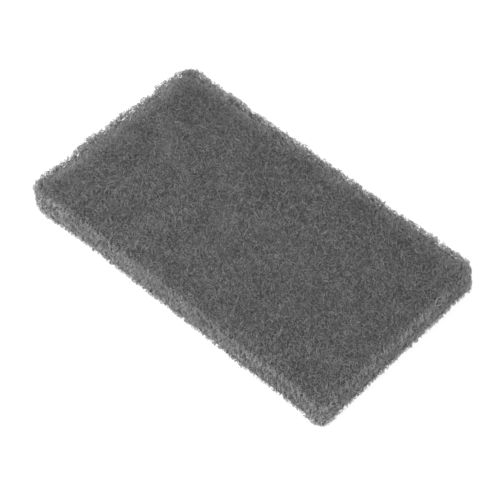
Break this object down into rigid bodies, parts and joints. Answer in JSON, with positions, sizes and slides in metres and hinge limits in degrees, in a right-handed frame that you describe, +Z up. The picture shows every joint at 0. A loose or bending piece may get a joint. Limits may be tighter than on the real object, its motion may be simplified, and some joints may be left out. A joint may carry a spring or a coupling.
{
  "type": "non-woven abrasive pad",
  "caption": "Flat rectangular hand pad of tangled, resin-bonded fibre web for scouring and finishing, with soft edges and round corners.",
  "frame": {"origin": "centre of the underside", "axes": "+X along the pad's length, +Y across its width, +Z up through its thickness"},
  "size_m": [0.1518, 0.0876, 0.0133],
  "materials": {
    "fibre_web": "matt charcoal grey, open tangled fibre web"
  },
  "bodies": {
    "root": {"abrasive_pad": "fibre_web"}
  },
  "joints": []
}
